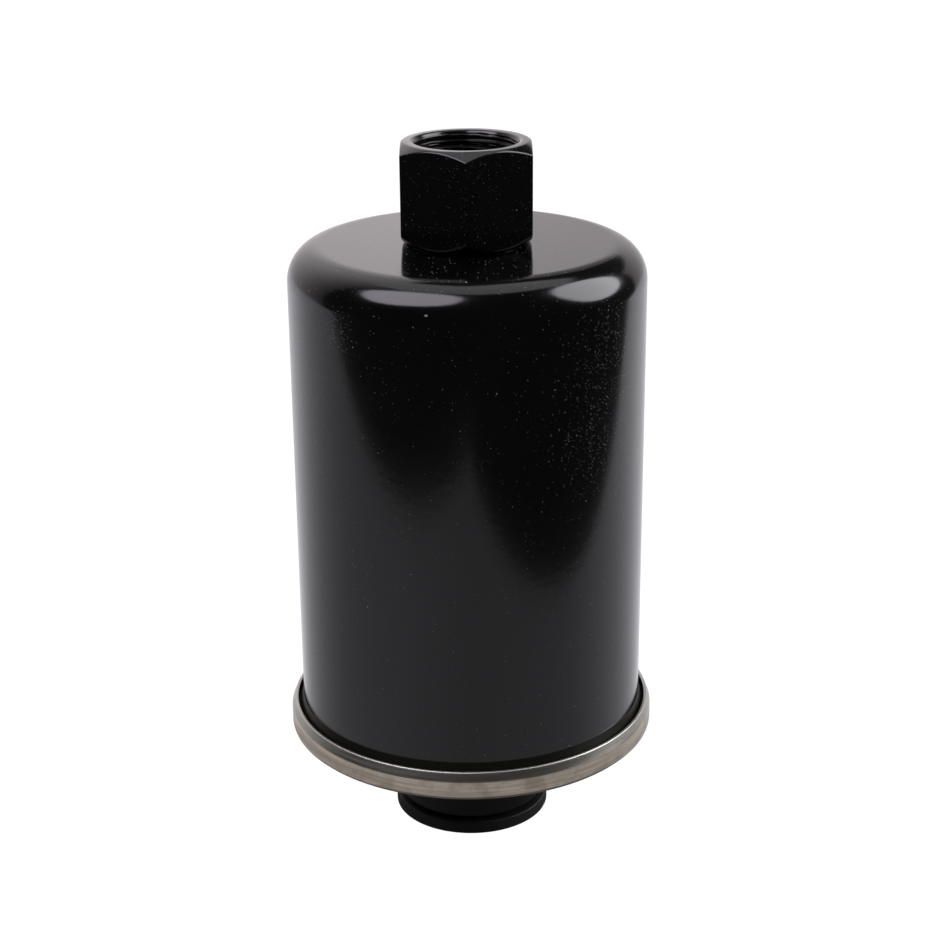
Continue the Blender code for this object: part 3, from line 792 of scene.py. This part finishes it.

# %% [markdown]
# Plated sheet that was rolled by a turning tool: a warm grey metal with fine marks that run
# round it, drawn a little coarser than they are. The marks come from noise that is stretched
# round the axis, by feeding it the distance from the axis and the height in place of X and Y. The
# steep band is painted darker as shade, and the cut edge above it is bare metal painted lighter
# as a highlight. Small dark spots are stain.

# %% Rolled steel


def rolled_steel():
    mat, tree, shader, coords = start_material("rolled_plated_steel", Metallic=1.0)
    axes = add(tree, "SeparateXYZ", {0: coords})
    height = axes.outputs[2]
    flat = add(tree, "CombineXYZ", {0: axes.outputs[0], 1: axes.outputs[1]})
    from_axis = add(tree, "VectorMath", {0: flat.outputs[0]}, operation="LENGTH")
    drift = add(tree, "VectorMath", {0: flat.outputs[0], 1: (0.03, 0.03, 0.0)}, operation="MULTIPLY")
    ring = add(tree, "CombineXYZ", {0: from_axis.outputs["Value"], 2: height})
    round_it = add(tree, "VectorMath", {0: ring.outputs[0], 1: drift.outputs[0]}, operation="ADD")
    marks = add(tree, "TexNoise", {"Vector": round_it.outputs[0], "Scale": per_mm(0.22), "Detail": 4.0})
    broad = add(tree, "TexNoise", {"Vector": round_it.outputs[0], "Scale": per_mm(0.8), "Detail": 2.0})
    blotch = add(tree, "TexNoise", {"Vector": coords, "Scale": per_mm(2.6), "Detail": 5.0})
    tone = add(tree, "MapRange", {0: marks.outputs[0], 1: 0.3, 2: 0.7})
    tone_broad = add(tree, "MapRange", {0: broad.outputs[0], 1: 0.35, 2: 0.65})
    tone_sum = add(tree, "Math", {0: tone.outputs[0], 1: tone_broad.outputs[0]}, operation="ADD")
    tone_half = add(tree, "Math", {0: tone_sum.outputs[0], 1: 0.5}, operation="MULTIPLY").outputs[0]
    metal = add(tree, "MixRGB", {0: tone_half, 1: linear("#9f9484"), 2: linear("#e6dac6")})
    touched = patch(tree, coords, on_can(22, 18, RIM_R), (5, 5, 2.5))
    stained_here = add(tree, "Math", {0: touched, 1: 0.14, 2: blotch.outputs[0]}, operation="MULTIPLY_ADD")
    stain = add(tree, "MapRange", {0: stained_here.outputs[0], 1: 0.5, 2: 0.72, 4: 0.5})
    stained = add(tree, "MixRGB", {0: stain.outputs[0], 1: metal.outputs[0], 2: linear("#8a7f6e")})
    # Painted shade and highlight: the steep band under the edge is painted darker, and the cut edge above it
    # lighter.
    cut_z = (RIM_EDGE_Z - 0.2) * MM
    band_z = (RIM_SHOULDER_Z - 0.05) * MM
    band_painted_shade = add(tree, "MapRange", {0: height, 1: band_z, 2: band_z + 0.4 * MM, 4: 0.85})
    banded = add(tree, "MixRGB", {0: band_painted_shade.outputs[0], 1: stained.outputs[0], 2: linear("#8f8f88")})
    cut_edge_and_highlight = add(tree, "MapRange", {0: height, 1: cut_z, 2: cut_z + 0.1 * MM})
    rolled = add(tree, "MixRGB", {0: cut_edge_and_highlight.outputs[0], 1: banded.outputs[0], 2: linear("#b9b8b2")})
    spots = gathered(tree, [dust(tree, coords, 1.1, 0.2, 0.12), dust(tree, coords, 0.5, 0.15, 0.06)])
    thin_spots = add(tree, "Math", {0: spots, 1: 0.85}, operation="MULTIPLY")
    spotted = add(tree, "MixRGB", {0: thin_spots.outputs[0], 1: rolled.outputs[0], 2: linear("#3a3630")})
    tree.links.new(spotted.outputs[0], shader.inputs["Base Color"])
    rough = add(tree, "MapRange", {0: tone_half, 3: 0.26, 4: 0.40})
    torn = add(tree, "MapRange", {0: cut_edge_and_highlight.outputs[0], 3: 1.0, 4: 1.3})
    dull = add(tree, "Math", {0: rough.outputs[0], 1: torn.outputs[0]}, operation="MULTIPLY")
    tree.links.new(dull.outputs[0], shader.inputs["Roughness"])
    bump = add(tree, "Bump", {"Strength": 0.3, "Distance": 0.00002, "Height": marks.outputs[0]})
    tree.links.new(bump.outputs[0], shader.inputs["Normal"])
    return mat


STEEL_RIM = rolled_steel()
cover.data.materials.append(STEEL_RIM)
print("material", STEEL_RIM.name)

# %% [markdown]
# ## The sealing compound
# A cured compound fills the fold between flare and cover. A bead of it stands up in the open
# groove behind the rim, dark olive: the compound's tint, painted dark as the groove's shade, and it
# is what makes the groove black.

# %% Seam compound
FOLD_IN_R = 26.0
compound_corners = [(FLANGE_R - 0.15, RIM_EDGE_Z - 0.75, 0.1), (FLANGE_R + 0.4, RIM_EDGE_Z - 1.15, 0.1),
                    (FLANGE_R + 0.45, RIM_BOTTOM + SHEET + 0.35, 0.1),
                    (FOLD_IN_R, RIM_BOTTOM + SHEET + 0.15, 0.1), (FOLD_IN_R, FLANGE_Z - 0.12, 0.1),
                    (FLANGE_R + 0.15, FLANGE_Z - 0.12, 0.1), (FLANGE_R + 0.13, RIM_SHOULDER_Z, 0.1)]
compound = spin("seam_compound", rounded(compound_corners), replaces="seam_gasket")


def compound_with_groove_shade():
    mat, tree, shader, coords = start_material("sealing_compound_painted_groove_shade", Metallic=0.0, IOR=1.5)
    lumps = add(tree, "TexNoise", {"Vector": coords, "Scale": per_mm(0.8), "Detail": 3.0})
    # Painted shade: the compound is coloured near black olive for the shade deep in the groove, over its own
    # olive tint.
    olive = add(tree, "MixRGB", {0: lumps.outputs[0], 1: linear("#060703"), 2: linear("#1c2008")})
    tree.links.new(olive.outputs[0], shader.inputs["Base Color"])
    skin = add(tree, "MapRange", {0: lumps.outputs[0], 3: 0.35, 4: 0.6})
    tree.links.new(skin.outputs[0], shader.inputs["Roughness"])
    swell = add(tree, "Bump", {"Strength": 0.4, "Distance": 0.00008, "Height": lumps.outputs[0]})
    tree.links.new(swell.outputs[0], shader.inputs["Normal"])
    return mat


compound.data.materials.append(compound_with_groove_shade())

# %% [markdown]
# ## The outlet boss
# A turned boss with the same female thread as the inlet, painted satin black. Its neck passes
# through the cover and ends in the spigot that the element sits on.

# %% Outlet boss
def boss_rows():
    """From the spigot's top down the outside, round the mouth and back up through the port."""
    shoulder_top = RAISED_Z - 0.05
    rows = rounded([(PASSAGE_R, SPIGOT_TOP, 0.3), (SPIGOT_R - 0.6, SPIGOT_TOP, 0.3),
                    (SPIGOT_R, SPIGOT_TOP - 0.8, 0.3), (SPIGOT_R, BOSS_NECK_TOP, 0.2),
                    (BOSS_NECK_R, BOSS_NECK_TOP, 0.2), (BOSS_NECK_R, shoulder_top, 0.1),
                    (BOSS_R, shoulder_top, 0.3), (BOSS_R, BOSS_BOTTOM + 0.45, 0.25),
                    (BOSS_R - 0.45, BOSS_BOTTOM, 0.2), (SINK_R + 0.05, BOSS_BOTTOM, 0)], closed=False)
    rows += [(SINK_R, BOSS_BOTTOM + 0.05)]
    rows += threaded_bore(BOSS_BOTTOM, BOSS_PORT_TOP, 1)
    rows += rounded([(THREAD_MINOR_R, BOSS_PORT_TOP + 0.2, 0), (PASSAGE_R, BOSS_PORT_TOP + 2.0, 0.3),
                     (PASSAGE_R, SPIGOT_TOP, 0)], closed=False)[:-1]
    return rows


boss = spin("outlet_boss", boss_rows(), replaces="outlet_fitting")
ENAMEL_BOSS = satin_enamel("satin_black_boss_enamel", 0.30, 0.38, 0.5)
boss.data.materials.append(ENAMEL_BOSS)

# %% [markdown]
# ## The transit plug
# Moulded rubber: a flat lip, a tapered spigot with three sealing ribs inside the port, and a
# shallow recess below. It rides on its own body, because it pulls out.

# %% Transit plug
RIB_COUNT = 3
RIB_PITCH = 2.4


def plug_rows():
    """From the middle of the top down over the ribs and the lip to the middle of the recess."""
    rib_base = 6.55
    rib_r = 6.85
    corners = [(0, PLUG_TOP, 0), (5.4, PLUG_TOP, 0.5), (rib_base - 0.3, PLUG_TOP - 1.5, 0.3)]
    for rib in range(RIB_COUNT):
        top = PLUG_TOP - 2.0 - rib * RIB_PITCH
        corners += [(rib_base, top, 0.1), (rib_r, top - 0.5, 0.15), (rib_r, top - 0.9, 0.15),
                    (rib_base, top - 1.3, 0.1)]
    corners += [(rib_base, LIP_H, 0.25), (LIP_R, LIP_H, 0.35), (LIP_R, LIP_BOTTOM, 0.3),
                (8.0, LIP_BOTTOM, 0.2), (7.4, 0.8, 0.3), (0, 0.8, 0)]
    return rounded(corners, closed=False)


plug = spin("transit_plug_rubber", plug_rows(), body=PLUG, replaces="outlet_plug",
            ring=False)


def moulded_rubber(name, tint, rough):
    mat, tree, shader, coords = start_material(name, Metallic=0.0, IOR=1.5)
    grain = add(tree, "TexNoise", {"Vector": coords, "Scale": per_mm(0.22), "Detail": 3.0})
    bloom = add(tree, "TexNoise", {"Vector": coords, "Scale": per_mm(3.0), "Detail": 4.0})
    tone = add(tree, "MapRange", {0: bloom.outputs[0], 1: 0.35, 2: 0.7})
    skin = add(tree, "MixRGB", {0: tone.outputs[0], 1: linear("#050505"), 2: linear(tint)})
    specks = dust(tree, coords, 0.6, 0.08, 0.08)
    thin_specks = add(tree, "Math", {0: specks, 1: 0.4}, operation="MULTIPLY")
    colour = add(tree, "MixRGB", {0: thin_specks.outputs[0], 1: skin.outputs[0], 2: linear("#6d675c")})
    tree.links.new(colour.outputs[0], shader.inputs["Base Color"])
    dull = add(tree, "MapRange", {0: grain.outputs[0], 1: 0.3, 2: 0.7, 3: rough - 0.08, 4: rough + 0.06})
    tree.links.new(dull.outputs[0], shader.inputs["Roughness"])
    bump = add(tree, "Bump", {"Strength": 0.35, "Distance": 0.00004, "Height": grain.outputs[0]})
    tree.links.new(bump.outputs[0], shader.inputs["Normal"])
    return mat


plug.data.materials.append(moulded_rubber("moulded_nitrile_plug", "#0c0b0a", 0.62))

# %% [markdown]
# ## Inside
# The element and its spring can't be seen in the closed filter, and their solids are already the
# right shape, so they stay and only get their finishes: tinned sheet, resin-cured paper,
# adhesive, nitrile rubber, spring wire and copper braze.

# %% Finishes of the inner pieces


def worn_metal(name, dark, bright, grain_mm, rough):
    mat, tree, shader, coords = start_material(name, Metallic=1.0)
    fine = add(tree, "TexNoise", {"Vector": coords, "Scale": per_mm(grain_mm), "Detail": 4.0})
    colour = add(tree, "MixRGB", {0: fine.outputs[0], 1: linear(dark), 2: linear(bright)})
    tree.links.new(colour.outputs[0], shader.inputs["Base Color"])
    dull = add(tree, "MapRange", {0: fine.outputs[0], 3: rough - 0.08, 4: rough + 0.08})
    tree.links.new(dull.outputs[0], shader.inputs["Roughness"])
    bump = add(tree, "Bump", {"Strength": 0.15, "Distance": 0.00003, "Height": fine.outputs[0]})
    tree.links.new(bump.outputs[0], shader.inputs["Normal"])
    return mat


def cured_stuff(name, dark, bright, grain_mm, rough):
    mat, tree, shader, coords = start_material(name, Metallic=0.0, IOR=1.5)
    fibre = add(tree, "TexNoise", {"Vector": coords, "Scale": per_mm(grain_mm), "Detail": 6.0})
    colour = add(tree, "MixRGB", {0: fibre.outputs[0], 1: linear(dark), 2: linear(bright)})
    tree.links.new(colour.outputs[0], shader.inputs["Base Color"])
    dull = add(tree, "MapRange", {0: fibre.outputs[0], 3: rough - 0.06, 4: rough + 0.06})
    tree.links.new(dull.outputs[0], shader.inputs["Roughness"])
    bump = add(tree, "Bump", {"Strength": 0.3, "Distance": 0.00004, "Height": fibre.outputs[0]})
    tree.links.new(bump.outputs[0], shader.inputs["Normal"])
    return mat


TINNED = worn_metal("tinned_sheet_steel", "#a8a8a2", "#cfcfca", 0.5, 0.35)
FINISHES = {
    "inlet_braze_ring": worn_metal("copper_braze", "#8a5a38", "#c98f60", 0.4, 0.42),
    "outlet_braze_ring": worn_metal("copper_braze_lower", "#8a5a38", "#c98f60", 0.4, 0.42),
    "pleated_paper": cured_stuff("resin_cured_filter_paper", "#b98f52", "#d8b27a", 0.25, 0.85),
    "pleat_seam_clip": TINNED,
    "centre_tube": TINNED,
    "upper_end_cap": TINNED,
    "lower_end_cap": TINNED,
    "spring_seat": TINNED,
    "upper_potting": cured_stuff("cured_potting_adhesive", "#9a4516", "#b86426", 1.2, 0.4),
    "lower_potting": cured_stuff("cured_potting_adhesive_lower", "#9a4516", "#b86426", 1.2, 0.4),
    "element_seal": moulded_rubber("moulded_nitrile_seal", "#101010", 0.55),
    "hold_down_spring": worn_metal("oiled_spring_wire", "#4c4c4e", "#76767a", 0.3, 0.3),
}
for node_name, finish in FINISHES.items():
    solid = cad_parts[node_name]
    solid.data.materials.clear()
    solid.data.materials.append(finish)
print("inner finishes", len(FINISHES))
